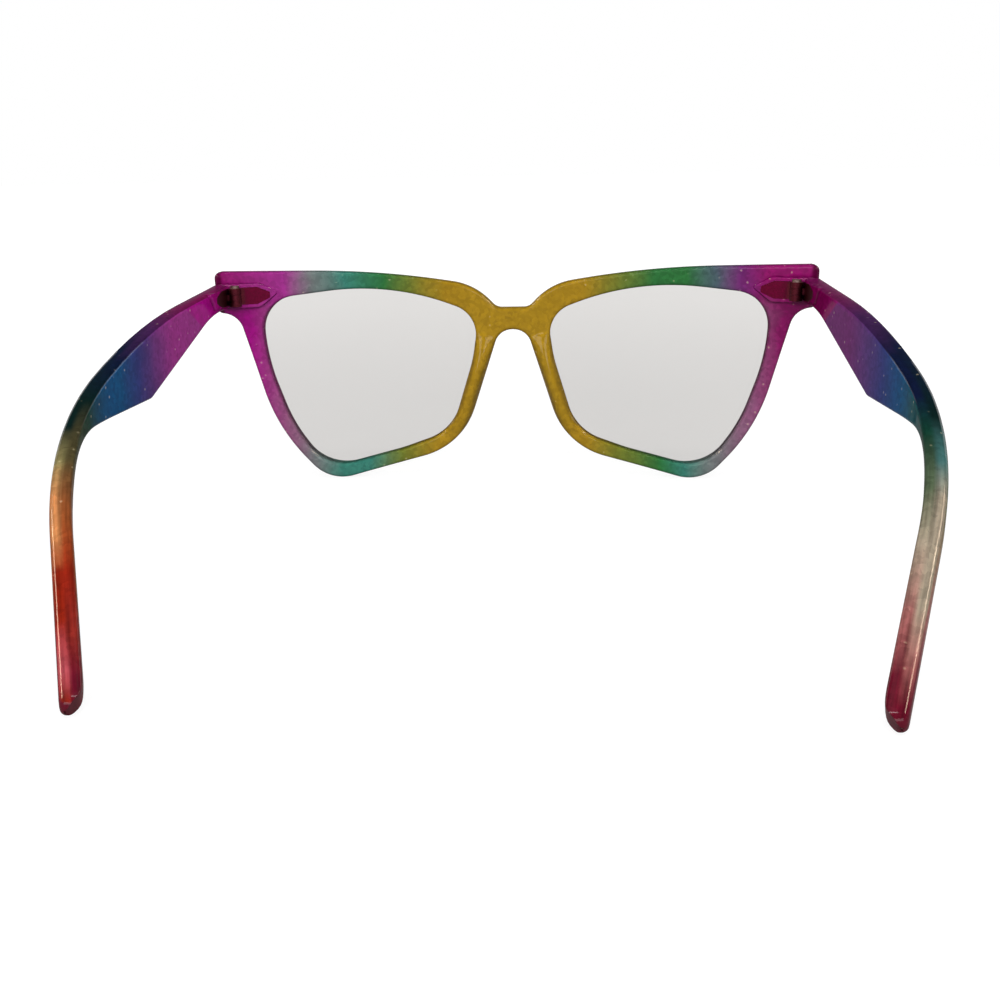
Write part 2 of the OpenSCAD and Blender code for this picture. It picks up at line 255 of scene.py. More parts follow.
def addPiece(name, part, material, body, replaced):
    # A mesh made in millimetres, as a piece that rides on a body in place of CAD nodes
    points, faces = part
    mesh = bpy.data.meshes.new(name)
    mesh.from_pydata((points * millimetre).tolist(), [], faces)
    mesh.shade_smooth()
    mesh.set_sharp_from_angle(angle=math.radians(sharpAngle))
    mesh.materials.append(material)
    piece = bpy.data.objects.new(name, mesh)
    bpy.context.collection.objects.link(piece)
    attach(piece, body)
    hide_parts(*replaced)
    print("piece:", name, len(points), "points", len(faces), "faces")
    return piece


def island(outer, pocket, centre, top, base, depth, soft, place, count=240):
    # A raised block with a pocket, both convex in plan and seen from one centre:
    # rings run from the base up the sides, over the softened edge, to the pocket and down into it
    angles = np.linspace(0, 2 * np.pi, count, endpoint=False)
    ways = np.stack([np.cos(angles), np.sin(angles)], -1)

    def reach(loop):
        # Distance from the centre to the loop in each direction
        closed = np.concatenate([loop, loop[:1]])
        w = pointsAt(closed, np.linspace(0, lengthsAlong(closed)[-1], 4 * count, endpoint=False)) - centre
        turn = np.arctan2(w[:, 1], w[:, 0])
        order = np.argsort(turn)
        return np.interp(angles, turn[order], np.linalg.norm(w, axis=1)[order], period=2 * np.pi)

    def plan(radius):
        # Centre + direction times radius
        return centre + ways * radius[:, None]

    r, q = reach(outer), reach(pocket)
    middle = np.tile(centre, (count, 1))
    rings = [place(middle, base(middle)), place(plan(r), base(plan(r)))]
    for d in (0, 0.15, 0.4, 0.7, 1.0):
        p = plan(r - d * soft)
        rings.append(place(p, top(p) - softEdge(d * soft, soft)))
    p = plan(q)
    rings += [place(p, top(p)), place(p, top(p) - depth)]
    rings.append(place(middle, top(middle) - depth))
    rings = np.array(rings)
    points, faces = welded(rings.reshape(-1, 3), gridFaces(len(rings), count, False, True))
    return points, facingOut(points, faces)


# Front: sizes in millimetres

front = {
    "lensW": 53.7, "lensH": 45.4, "bridgeW": 19.0, "rimW": 3.8, "frontT": 3.6, "baseR": 320.0,
    "browW": 5.3, "endReach": 10.7, "endH": 10.2, "bridgeDrop": 10.8, "bridgeH": 5.6, "edgeR": 0.9,
    "archHalf": 3.5, "archR": 4.6, "coveReach": 2.0, "coveFall": 0.85, "coveR": 5.2, "endR": 1.6,
    "browBow": 1.0, "browR": 240.0, "browShare": 0.46, "shoulder": (1.0, 4.95), "shoulderR": 16.5,
    "bridgeHalf": 4.1, "bridgeR": 3.0,
    "grooveLow": 0.84, "grooveHigh": 2.76, "grooveDeep": 0.86, "lensEdgeR": 0.8,
    "lensShares": [(-0.016, 0.842, 7.7), (0.017, 0.587, 34), (0.126, 0.169, 13), (0.366, 0.072, 45),
                   (0.736, -0.036, 11.7), (0.895, 0.241, 39), (0.994, 0.599, 50), (1.007, 0.951, 9),
                   (0.403, 1.029, 66)],
    "rimShares": [(2, -0.755, -0.995, 19), (4, -0.163, -0.887, 10.4), (5, 1.005, -0.303, 45)],
}
nosePad = {"rise": 2.4, "from": 0.08, "length": 0.86, "lengthPower": 0.8, "acrossPower": 2.2,
           "lensShare": 0.25, "widest": 6.8, "fade": 1.6}
temple = {
    "reach": 131.2, "thick": 3.8, "boss": 0.4, "rootH": 6.0, "step": 3.0, "rootReach": 10.0,
    "bladeReach": 46.8, "bladeDrop": 13.0, "earReach": 81.5, "tipW": 3.8, "earAngle": 34.0,
    "topAngle": 4.6, "splay": 5.7, "earTurn": 22.2, "turnReach": 84.1, "turnR": 84.0, "edgeR": 0.9,
    "tipR": 1.8, "rootR": 0.8, "wideningR": 40.0, "bladeR": 2.5, "earR": 29.0, "bendR": 165.0,
    "rootLen": 10.0, "rootOut": 3.0, "tipSlant": [(0.3, -0.3, 1.2), (0.9, 2.3, 4.0), (1.1, 6.5, 0.01)],
}
hinge = {"knuckleR": 1.5, "stackH": 4.47, "leafT": 0.8, "leafLen": 8.0, "leafInset": 0.15,
         "seatGap": 0.05, "turnGap": 0.25, "seatRise": 0.3, "buttGap": 0.15}

lensX = front["bridgeW"] / 2
lensCorners = [[lensX + front["lensW"] * a, front["lensH"] * b, r] for a, b, r in front["lensShares"]]
halfW = lensX + front["lensW"] + front["endReach"]
browZ = front["lensH"] + front["browW"]
endZ = browZ - front["endH"]
bridgeZ = browZ - front["bridgeDrop"]
halfCorners = [
    [front["archHalf"], bridgeZ - front["bridgeH"], front["archR"]],
    *[[lensCorners[k][0] + front["rimW"] * a, lensCorners[k][1] + front["rimW"] * b, r]
      for k, a, b, r in front["rimShares"]],
    [lensX + front["lensW"] + front["rimW"] + front["coveReach"], endZ - front["coveFall"], front["coveR"]],
    [halfW, endZ, front["endR"]], [halfW, browZ, front["endR"]],
    [lensX + front["lensW"] * front["browShare"], browZ - front["browBow"], front["browR"]],
    [lensCorners[0][0] + front["shoulder"][0], browZ - front["shoulder"][1], front["shoulderR"]],
    [front["bridgeHalf"], bridgeZ, front["bridgeR"]],
]


def halfOutline():
    # The rounded corners of one half, with the other half as its mirror image
    other = [[-x, z, r] for x, z, r in reversed(halfCorners)]
    return roundedLoop(halfCorners + other)[:len(halfCorners)]


floorZ = halfOutline()[:, :, 1].min()
for corner in lensCorners + halfCorners:
    corner[1] -= floorZ
frontTop = browZ - floorZ
curveZ = frontTop / 2
curveY = math.sqrt(front["baseR"] ** 2 - halfW ** 2)


def curved(plan, height):
    # The base curve: y = centre - sqrt((radius + height)^2 - x^2 - (z - middle)^2)
    x, z = plan[..., 0], plan[..., 1]
    y = curveY - np.sqrt((front["baseR"] + height) ** 2 - x ** 2 - (z - curveZ) ** 2)
    return np.stack([x, y, z], -1)


# Hinge seat and axis
rootTop = frontTop - temple["step"]
rootZ = rootTop - temple["rootH"]
hingeZ = (rootTop + rootZ) / 2
seatY = float(curved(np.array([halfW, frontTop]), 0.0)[1]) + hinge["seatRise"]
hingeY = seatY + hinge["knuckleR"] + hinge["turnGap"]
buttY = seatY + hinge["buttGap"]
splay = math.radians(temple["splay"])
innerX = halfW - (temple["thick"] + temple["boss"]) / math.cos(splay)
hingeX = innerX + math.tan(splay) * (hingeY - buttY) - hinge["knuckleR"] - hinge["turnGap"]
leafH = hinge["stackH"] - 2 * hinge["leafInset"]

boss = {"reach": 1.6, "flat": 0.4, "noseUp": 0.6, "noseR": 0.6, "taper": 4.4, "taperR": 2, "outR": 0.4,
        "bed": 1.2, "soft": 0.3, "middleX": 65.4, "pocketIn": 0.2, "dip": 0.95, "dipEdge": 0.8}
bossX = hingeX - hinge["leafLen"] - boss["reach"]
bossFlatX = hingeX - boss["flat"]
bossSlope = (seatY - float(curved(np.array([bossX, hingeZ]), 0.0)[1])) / (bossFlatX - bossX)
bossCorners = [
    (bossX, hingeZ + boss["noseUp"], boss["noseR"]), (bossX + boss["taper"], rootZ, boss["taperR"]),
    (halfW - front["edgeR"], rootZ, boss["outR"]), (halfW - front["edgeR"], rootTop, boss["outR"]),
    (bossX + boss["taper"], rootTop, boss["taperR"]),
]


def leafPocket(startA, way, middleB, run):
    # Leaf outline in plan with its free space: straight for 0.6 of its length, then down to a third
    g = hinge["seatGap"]
    length, half = (hinge["leafLen"] + 2 * g) * run, leafH / 2 + g
    a0 = startA - way * g
    a1, a2 = a0 + way * length * 0.6, a0 + way * length
    loop = [(a0, middleB - half), (a1, middleB - half), (a2, middleB - half / 3),
            (a2, middleB + half / 3), (a1, middleB + half), (a0, middleB + half)]
    return np.array(loop)


def halfGrid():
    # Plan of half the front as lines from the lens opening to the outline, matched at chosen places
    inner, outer = roundedLoop(lensCorners), halfOutline()
    n = inner.shape[1]
    last, middle = n - 1, n // 2
    low, top = np.array([0, halfCorners[0][1]]), np.array([0, halfCorners[-1][1]])
    outerPath = np.concatenate([[(low + top) / 2, low], outer.reshape(-1, 2), [top, (low + top) / 2]])
    flat = inner.reshape(-1, 2)
    innerPath = np.concatenate([flat[middle:], flat[:middle + 1]])
    outerL, innerL = lengthsAlong(outerPath), lengthsAlong(innerPath)

    def onOuter(corner, share):
        # Length along the outline at a share of a corner's arc
        return outerL[2 + corner * n + int(last * share)]

    def onInner(corner, share):
        # The same along the lens opening
        return innerL[(corner * n + int(last * share) - middle) % len(flat)]

    halfArc = innerL[-1] - innerL[-1 - middle]
    matches = [
        (0, 0, 0), (onInner(0, 0.85), outerL[1], 14), (onInner(0, 1) + 3, onOuter(0, 1), 14),
        (onInner(2, 0.5), onOuter(1, 0.5), 40), (onInner(4, 0.5), onOuter(2, 0.5), 56),
        (onInner(5, 0.5), onOuter(3, 0), 26), (onInner(6, 0.5), onOuter(3, 1), 30),
        (onInner(7, 0), onOuter(4, 0), 26), (onInner(7, 0.3), onOuter(4, 1), 16),
        (onInner(7, 0.5), onOuter(5, 0.5), 16), (onInner(7, 0.8), onOuter(6, 0.5), 24),
        (onInner(7, 1) + 3, onOuter(6, 1) + 12, 22), (onInner(8, 0.5), onOuter(7, 0.5), 44),
        (innerL[-1] - halfArc - 2, onOuter(8, 0.5), 50), (innerL[-1] - 0.35 * halfArc, outerL[-2], 26),
        (innerL[-1], outerL[-1], 14),
    ]
    along = stretched(matches)
    start, end = pointsAt(innerPath, along[:, 0]), pointsAt(outerPath, along[:, 1])
    share = sharesAcross(np.linalg.norm(end - start, axis=1)[:, None])
    return (start[:, None] + (end - start)[:, None] * share[..., None])[:-1]


def buildFront():
    # Front and rear face on the base curve, less the fall of the edges, joined by the lens groove
    plan = halfGrid()
    half = halfOutline().reshape(-1, 2)
    whole = np.concatenate([half, half[::-1] * [-1, 1]])
    lensLoop = roundedLoop(lensCorners).reshape(-1, 2)
    toOuter, toLens = toLoop(plan, whole), toLoop(plan, lensLoop)
    fall = np.maximum(softEdge(toOuter, front["edgeR"]), softEdge(toLens, front["lensEdgeR"]))

    # Nose pads: a lump along the nose side, a power of a sine lengthwise and of 1 - |2u - 1| across
    a, b = np.array(halfCorners[1][:2]), np.array(halfCorners[0][:2])
    t = (plan - a) @ (b - a) / ((b - a) @ (b - a))
    u = toOuter / np.maximum(toOuter + toLens, 1e-6)
    beside = plan[..., 0] < lensX + front["lensW"] * nosePad["lensShare"]
    beside = beside * smoothStep((nosePad["widest"] - toOuter - toLens) / nosePad["fade"])
    lengthwise = np.sin(np.pi * np.clip((t - nosePad["from"]) / nosePad["length"], 0, 1))
    lengthwise = lengthwise ** nosePad["lengthPower"]
    pad = nosePad["rise"] * lengthwise * (1 - np.abs(2 * u - 1) ** nosePad["acrossPower"]) * beside
    # Room under the hinge boss
    dip = boss["dip"] * smoothStep(inside(plan, [c[:2] for c in bossCorners]) / boss["dipEdge"])

    frontFace = curved(plan, front["frontT"] - fall)
    rearFace = curved(plan, fall - pad + dip)
    # Lens groove: the opening's edge moves outwards along its normal
    edge = plan[:, 0]
    normal = leftOf(np.roll(edge, -1, 0) - np.roll(edge, 1, 0))
    normal /= np.linalg.norm(normal, axis=1)[:, None]
    normal *= np.sign((normal * (plan[:, 3] - edge)).sum(1))[:, None]
    groove = [(0, front["grooveLow"]), (front["grooveDeep"], front["grooveLow"]),
              (front["grooveDeep"], front["grooveHigh"]), (0, front["grooveHigh"])]
    wall = np.stack([curved(edge + normal * out, h) for out, h in groove], 1)
    rings = np.concatenate([frontFace, rearFace[:, ::-1], wall], 1)
    points = rings.reshape(-1, 3)
    faces = gridFaces(rings.shape[0], rings.shape[1], True, True)
    faces = faces[np.abs(points[faces][..., 0]).max(1) > 1e-9]
    shell = welded(np.concatenate([points, points * [-1, 1, 1]]),
                   np.concatenate([faces, faces[:, ::-1] + len(points)]))
    shell = shell[0], facingOut(*shell)

    def top(p):
        # Flat beside the knuckles, then down along the boss's slope
        return seatY + np.minimum(p[:, 0] - bossFlatX, 0) * bossSlope

    def base(p):
        # The block starts inside the front, under its rear face
        return curved(p, boss["bed"])[..., 1]

    def place(p, y):
        # Plan (x, z) and y to a point
        return np.stack([p[:, 0], y, p[:, 1]], -1)

    block = island(roundedLoop(bossCorners).reshape(-1, 2),
                   leafPocket(bossFlatX + boss["pocketIn"], -1, hingeZ, math.cos(math.atan(bossSlope))),
                   np.array([boss["middleX"], hingeZ]), top, base, hinge["leafT"] + hinge["seatGap"],
                   boss["soft"], place)
    return joined([shell, block, mirrored(block)])


frontPart = buildFront()
originY = frontPart[0][:, 1].min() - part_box("front_frame")[0][1] / millimetre
print("stage: front built, middle from front to back at", round(originY, 3))


# Temples

earTurn, earAngle = math.radians(temple["earTurn"]), math.radians(temple["earAngle"])
topAngle = math.radians(temple["topAngle"])
endY = buttY + temple["reach"]
tipTop = temple["tipW"] * math.cos(earAngle)
bendY = (tipTop + math.tan(earAngle) * endY - rootTop - math.tan(topAngle) * buttY) / (
    math.tan(earAngle) - math.tan(topAngle))
bendZ = rootTop - math.tan(topAngle) * (bendY - buttY)
sideCorners = [
    [buttY, rootZ, temple["rootR"]], [buttY + temple["rootReach"], rootZ, temple["wideningR"]],
    [seatY + temple["bladeReach"], rootZ - temple["bladeDrop"], temple["bladeR"]],
    [seatY + temple["earReach"], rootZ - temple["bladeDrop"], temple["earR"]],
    [endY - temple["tipW"] * math.sin(earAngle), 0, temple["tipR"]], [endY, tipTop, temple["tipR"]],
    [bendY, bendZ, temple["bendR"]], [buttY, rootTop, temple["rootR"]],
]
tipLift = roundedLoop(sideCorners)[:, :, 1].min()
sideCorners[4][1] -= tipLift
sideCorners[5][1] -= tipLift
turnY = seatY + temple["turnReach"]
turnX = halfW + math.tan(splay) * (turnY - buttY)


def faceX(y, depth):
    # Plan of the temple at a depth below its outer face: a line, an arc about a common centre, a line.
    # On the arc x = centre + sqrt((radius - depth)^2 - (y - centre)^2).
    u = np.array([math.sin(splay), math.cos(splay)])
    v = np.array([-math.sin(earTurn), math.cos(earTurn)])
    tangent = temple["turnR"] * math.tan((splay + earTurn) / 2)
    start = np.array([turnX, turnY]) - u * tangent
    centre = start + temple["turnR"] * leftOf(u)
    rho = temple["turnR"] - depth
    first = centre[1] - rho * leftOf(u)[1]
    second = centre[1] - rho * leftOf(v)[1]
    lineA = centre[0] - rho * leftOf(u)[0] + math.tan(splay) * (y - first)
    lineB = centre[0] - rho * leftOf(v)[0] - math.tan(earTurn) * (y - second)
    arc = centre[0] + np.sqrt(np.maximum(rho ** 2 - (y - centre[1]) ** 2, 0))
    return np.where(y < first, lineA, np.where(y > second, lineB, arc))


def sideGrid():
    # Coons patch over the side view: lower and upper edge, and the two ends
    arcs = roundedLoop(sideCorners)
    m = arcs.shape[1] // 2
    lower = np.concatenate([arcs[0, m:], *arcs[1:4], arcs[4, :m + 1]])
    tipEnd = np.concatenate([arcs[4, m:], arcs[5, :m + 1]])
    upper = np.concatenate([arcs[5, m:], arcs[6], arcs[7, :m + 1]])[::-1]
    rootEnd = np.concatenate([arcs[7, m:], arcs[0, :m + 1]])[::-1]
    lowerL, upperL = lengthsAlong(lower), lengthsAlong(upper)

    def lowerAt(y):
        # Length along the lower edge at y
        return np.interp(y, lower[:, 0], lowerL)

    def upperAt(y):
        # Length along the upper edge at y
        return np.interp(y, upper[:, 0], upperL)

    blade, ear = sideCorners[2][0], sideCorners[3][0]
    places = [(d, d, 1) for d in nearEdge]
    places += [(lowerAt(buttY + 13), upperAt(buttY + 13), 26), (lowerAt(blade - 3), upperAt(blade - 3), 50),
               (lowerAt(blade + 3), upperAt(blade + 3), 12), (lowerAt(ear - 3.5), upperAt(ear + 2), 40),
               (lowerAt(ear + 3), upperAt(ear + 8), 16)]
    ends = [(lowerL[-1] - d, upperL[-1] - d, 1) for d in nearEdge[::-1]]
    ends[0] = (*ends[0][:2], 90)
    rows = stretched(places + ends)
    low, high = pointsAt(lower, rows[:, 0]), pointsAt(upper, rows[:, 1])
    share = sharesAcross(np.linalg.norm(high - low, axis=1)[:, None])
    plan = low[:, None] + (high - low)[:, None] * share[..., None]
    # The ends bulge from their straight lines: add the ends' offset, fading along the temple
    for end, row, way in ((rootEnd, 0, 1), (tipEnd, -1, -1)):
        lengths = lengthsAlong(end)
        bulge = pointsAt(end, share[row] * lengths[-1]) - plan[row]
        away = np.abs(plan[:, :1, 0] - plan[row, 0, 0]) + np.abs(plan[:, :1, 1] - plan[row, 0, 1])
        plan = plan + bulge[None] * (np.clip(1 - away / 8, 0, 1) ** 2)[..., None]
    return plan


def tipDepth(before):
    # Depth that the rounded slant of the tip leaves, against the distance before its end
    slant = [(share * temple["thick"], at, r) for share, at, r in temple["tipSlant"]]
    behind = [(-6.0, at, 0.01) for at in (slant[-1][1], slant[0][1])]
    path = roundedLoop(slant + behind)[:len(slant)].reshape(-1, 2)
    return np.interp(before, path[:, 1], path[:, 0])


rootPad = {"start": 0.01, "startR": 0.2, "endR": 0.5, "dip": 0.6, "dipEdge": 0.8, "middleY": 6.2,
           "bed": 0.7, "soft": 0.25}
tipBlend = 0.12  # how softly the slant of the tip meets the inner face, in millimetres


def buildTemple():
    # Outer and inner face at their depths below the outer face, closed along the edge and at both ends.
    # Where the tip's slant cuts in, depth = -soft log(exp(-inner / soft) + exp(-slant / soft)).
    plan = sideGrid()
    loop = roundedLoop(sideCorners).reshape(-1, 2)
    fall = softEdge(toLoop(plan, loop), temple["edgeR"])
    thick = temple["thick"]
    low, high = rootZ + temple["edgeR"], rootTop - temple["edgeR"]
    padStart, padEnd = buttY + rootPad["start"], buttY + temple["rootLen"]
    rootPlan = [(padStart, low, rootPad["startR"]), (padEnd, low, rootPad["endR"]),
                (padEnd + temple["rootOut"], high, rootPad["endR"]), (padStart, high, rootPad["startR"])]
    dip = rootPad["dip"] * smoothStep(inside(plan, [c[:2] for c in rootPlan]) / rootPad["dipEdge"])
    before = (endY - plan[..., 0]) * math.cos(earAngle) + (plan[..., 1] - tipTop) * math.sin(earAngle)
    inner, cut = thick - fall - dip, tipDepth(before)
    inner = -tipBlend * np.log(np.exp(-inner / tipBlend) + np.exp(-cut / tipBlend))

    def place(p, depth):
        # Side view (y, z) and depth below the outer face to a point
        return np.stack([faceX(p[..., 0], depth), p[..., 0], p[..., 1]], -1)

    outerFace, innerFace = place(plan, fall), place(plan, np.maximum(inner, fall))
    rings = np.concatenate([outerFace, innerFace[:, ::-1]], 1)
    rows, columns = rings.shape[:2]
    faces = gridFaces(rows, columns, False, True)
    n = np.arange(rows * columns).reshape(rows, columns)
    half = columns // 2
    caps = []
    for row, turned in ((n[0], False), (n[-1], True)):
        a, b = row[:half], row[:half - 1:-1]
        cap = np.stack([a[:-1], a[1:], b[1:], b[:-1]], -1)
        caps.append(cap[:, ::-1] if turned else cap)
    body = welded(rings.reshape(-1, 3), np.concatenate([faces, *caps]))
    body = body[0], facingOut(*body)

    def padTop(p):
        # Depth of the raised pad's own face
        return np.full(len(p), thick + temple["boss"])

    def padBase(p):
        # The pad starts inside the temple, under its inner face
        return np.full(len(p), thick - rootPad["bed"])

    root = island(roundedLoop(rootPlan).reshape(-1, 2),
                  leafPocket(hingeY - hinge["knuckleR"] / 2, 1, hingeZ, math.cos(splay)),
                  np.array([rootPad["middleY"], hingeZ]), padTop, padBase,
                  hinge["leafT"] + hinge["seatGap"], rootPad["soft"], place)
    return joined([body, root])


templePart = buildTemple()
print("stage: temples built")


# Materials

plasticLook = {
    "driftScale": 160.0, "cloudRoughness": 0.6, "sparkFade": 0.02, "sparkFrom": 0.15, "sparkTo": 0.45,
    "bump": 0.3, "cloudScale": 420.0, "cloudDepth": 0.22, "flakeScale": 1200.0, "flakeDepth": 0.28,
    "sparkPick": 0.97, "sparkShare": 0.25, "sparkColour": "#E8D8B0", "drift": 0.004, "grain": 0.00002,
    "roughness": 0.3, "gloss": 0.0, "coat": 0.15, "coatRoughness": 0.06, "ior": 1.49,
}


def mapped(tree, value, fromMin, fromMax, toMin, toMax, smooth=True):
    # One range of values onto another, in a straight line or eased at both ends
    kind = "SMOOTHSTEP" if smooth else "LINEAR"
    return addNode(tree, "ShaderNodeMapRange", {
        "Value": value, "From Min": fromMin, "From Max": fromMax, "To Min": toMin, "To Max": toMax},
        interpolation_type=kind).outputs[0]


def maths(tree, operation, a, b=0.0):
    # One operation on a and b, such as their sum or product
    return addNode(tree, "ShaderNodeMath", {0: a, 1: b}, operation=operation).outputs[0]


def mixed(tree, factor, a, b):
    # a (1 - factor) + b factor
    return addNode(tree, "ShaderNodeMix", {"Factor": factor, 6: a, 7: b}, data_type="RGBA").outputs[2]


def scaled(tree, colour, factor):
    # Colour times factor
    return addNode(tree, "ShaderNodeVectorMath", {0: colour, 1: factor}, operation="MULTIPLY").outputs[0]


def plastic(name, colourOf):
    # Glossy see-through plastic with fine glitter: deep colours that wander a little, soft clouds
    # and sparse pale cream flakes, partly the glitter's own light flakes and partly painted glints.
    # Brightness = cloud factor times flake factor.
    look = plasticLook
    material = newMaterial(name)
    tree = material.node_tree
    coordinates = addNode(tree, "ShaderNodeTexCoord").outputs
    place = coordinates["Object"]
    parts = addNode(tree, "ShaderNodeSeparateXYZ", {"Vector": place}).outputs
    facing = addNode(tree, "ShaderNodeSeparateXYZ", {"Vector": coordinates["Normal"]}).outputs
    wander = addNode(tree, "ShaderNodeTexNoise", {
        "Vector": place, "Scale": look["driftScale"], "Detail": 3.0}).outputs["Fac"]
    drift = mapped(tree, wander, 0.0, 1.0, -look["drift"] / 2, look["drift"] / 2, False)
    colour = colourOf(tree, parts, facing, drift)
    cloud = addNode(tree, "ShaderNodeTexNoise", {
        "Vector": place, "Scale": look["cloudScale"], "Detail": 4.0,
        "Roughness": look["cloudRoughness"]}).outputs["Fac"]
    cloudy = mapped(tree, cloud, 0.25, 0.75, 1 - look["cloudDepth"] / 2, 1 + look["cloudDepth"] / 2, False)
    flakes = addNode(tree, "ShaderNodeTexVoronoi", {"Vector": place, "Scale": look["flakeScale"]}).outputs
    pick = addNode(tree, "ShaderNodeSeparateColor", {"Color": flakes["Color"]}).outputs["Red"]
    flaky = mapped(tree, pick, 0.0, 1.0, 1 - look["flakeDepth"] / 2, 1 + look["flakeDepth"] / 2, False)
    shade = scaled(tree, colour, maths(tree, "MULTIPLY", cloudy, flaky))
    # Painted glints: sparse flakes mixed towards pale cream, partly the glitter's own light colour
    chosen = mapped(tree, pick, look["sparkPick"], look["sparkPick"] + look["sparkFade"], 0.0,
                    look["sparkShare"])
    spark = maths(tree, "MULTIPLY", chosen, mapped(
        tree, flakes["Distance"], look["sparkFrom"], look["sparkTo"], 1.0, 0.0))
    shade = mixed(tree, spark, shade, linear(look["sparkColour"]))
    bump = addNode(tree, "ShaderNodeBump", {
        "Strength": look["bump"], "Distance": look["grain"], "Height": cloud})
    bsdf = addNode(tree, "ShaderNodeBsdfPrincipled", {
        "Base Color": shade, "Roughness": look["roughness"], "IOR": look["ior"],
        "Specular IOR Level": look["gloss"], "Coat Weight": look["coat"],
        "Coat Roughness": look["coatRoughness"], "Coat IOR": look["ior"], "Normal": bump.outputs[0]})
    addNode(tree, "ShaderNodeOutputMaterial", {"Surface": bsdf.outputs[0]})
    return material


# The dyes of the plastic. The shaded ones are painted shade for the temples' tops.
dyes = {
    "plum": "#84105C", "claret": "#6C0444", "magenta": "#A00A80", "orchid": "#942C80", "mauve": "#885074",
    "aubergine": "#6A2468", "violet": "#523070", "indigo": "#2E3472", "blue": "#084876", "petrol": "#0E4A50",
    "bottle": "#0C3428", "slate": "#465660", "leaf": "#2A6834", "seaGreen": "#367668", "ash": "#6A7070",
    "olive": "#667028", "gold": "#9A7818", "khaki": "#4A4228", "moss": "#4A5640", "tan": "#7C6850",
    "rust": "#864420", "brick": "#74201A", "rosewood": "#8A5450", "wine": "#5A0E20", "straw": "#7A7048",
    "amber": "#B87848", "garnet": "#7C1C0C", "cherry": "#A84850", "sand": "#8E8270", "lichen": "#3A6260",
    "shadedPlum": "#601044", "shadedViolet": "#3C1A48", "shadedMidnight": "#08122E", "shadedPine": "#041A18",
}
# Where each dye lies, in millimetres: along the front to the wearer's left, along a temple to the back
browStops = [(-74, "plum"), (-62, "plum"), (-56, "aubergine"), (-50, "slate"), (-43, "leaf"),
             (-35, "leaf"), (-27, "olive"), (-17, "gold"), (17, "gold"), (26, "olive"), (33, "leaf"),
             (42, "seaGreen"), (50, "ash"), (57, "orchid"), (74, "plum")]
rimStops = [(-66, "plum"), (-60, "mauve"), (-51, "ash"), (-44, "seaGreen"), (-38, "leaf"), (-28, "olive"),
            (-18, "gold"), (19, "gold"), (30, "olive"), (38, "seaGreen"), (45, "seaGreen"), (51, "ash"),
            (58, "mauve"), (66, "magenta")]
leftStops = {
    "sides": [(-58, "plum"), (-46, "magenta"), (-38.3, "magenta"), (-37.3, "orchid"), (-24, "orchid"),
              (-12, "violet"), (-6, "indigo"), (2, "blue"), (8, "blue"), (18, "bottle"), (31, "khaki"),
              (44, "rust"), (51, "rust"), (60, "brick"), (72, "wine")],
    # Top shading: painted shade along root and blade, outer ear half lighter, partly painted highlight
    "outerTopShading": [(-58, "shadedPlum"), (-30, "shadedPlum"), (-19, "shadedViolet"), (-6, "shadedMidnight"),
                 (15, "shadedPine"), (23, "shadedPine"), (31, "straw"), (39, "amber"), (46, "amber"),
                 (52, "garnet"), (60, "garnet"), (68, "cherry"), (72, "garnet")],
    "innerTopShading": [(-58, "shadedPlum"), (-42, "claret"), (-30, "shadedPlum"), (-16, "shadedViolet"),
                 (0, "shadedMidnight"), (15, "shadedPine"), (30, "khaki"), (43, "rust"), (52, "garnet"),
                 (62, "brick"), (69, "wine")],
}
rightStops = {
    "sides": [(-58, "claret"), (-45, "claret"), (-38.6, "plum"), (-37.6, "aubergine"), (-24, "aubergine"),
              (-13, "violet"), (-4, "indigo"), (6, "blue"), (14, "petrol"), (24, "bottle"), (37, "moss"),
              (46, "tan"), (57, "rosewood"), (66, "wine")],
    # Top shading: painted shade along root and blade, outer ear half lighter, partly painted highlight
    "outerTopShading": [(-58, "shadedPlum"), (-38, "shadedPlum"), (-20, "shadedViolet"), (-4, "shadedMidnight"),
                 (20, "shadedPine"), (30, "lichen"), (39, "sand"), (56, "sand"), (64, "rosewood"),
                 (70, "wine")],
    "innerTopShading": [(-58, "shadedPlum"), (-36, "shadedPlum"), (-20, "shadedViolet"), (0, "shadedMidnight"),
                 (14, "shadedMidnight"), (24, "bottle"), (36, "moss"), (46, "sand"), (57, "rosewood"),
                 (66, "wine")],
}
# Places in metres; the other values are shares
# Painted shade on the front: darker on faces that turn away from front and rear, and a dark maroon over the
# end walls
frontEdgeShade = {"flat": 0.85, "turned": 0.3, "darkest": 0.62, "endShadeColour": "#48032A", "endFrom": 0.0716,
             "endTo": 0.0726, "endShadeShare": 0.9}
browLine = {"from": 0.036, "to": 0.043, "risesFrom": 0.056, "risesTo": 0.063, "rise": 0.006}
streaks = {"across": 5.0, "along": 90.0, "deep": 0.35, "from": 0.38, "to": 0.7, "startFrom": 0.02,
           "startTo": 0.04, "dark": 0.3, "light": 0.7}
rootLine = {"slope": 1.5, "height": 0.0455, "half": 0.02, "from": -0.032, "to": -0.024}
upwardFrom, upwardTo = 0.35, 0.6  # how far a face looks up, from a side to the top


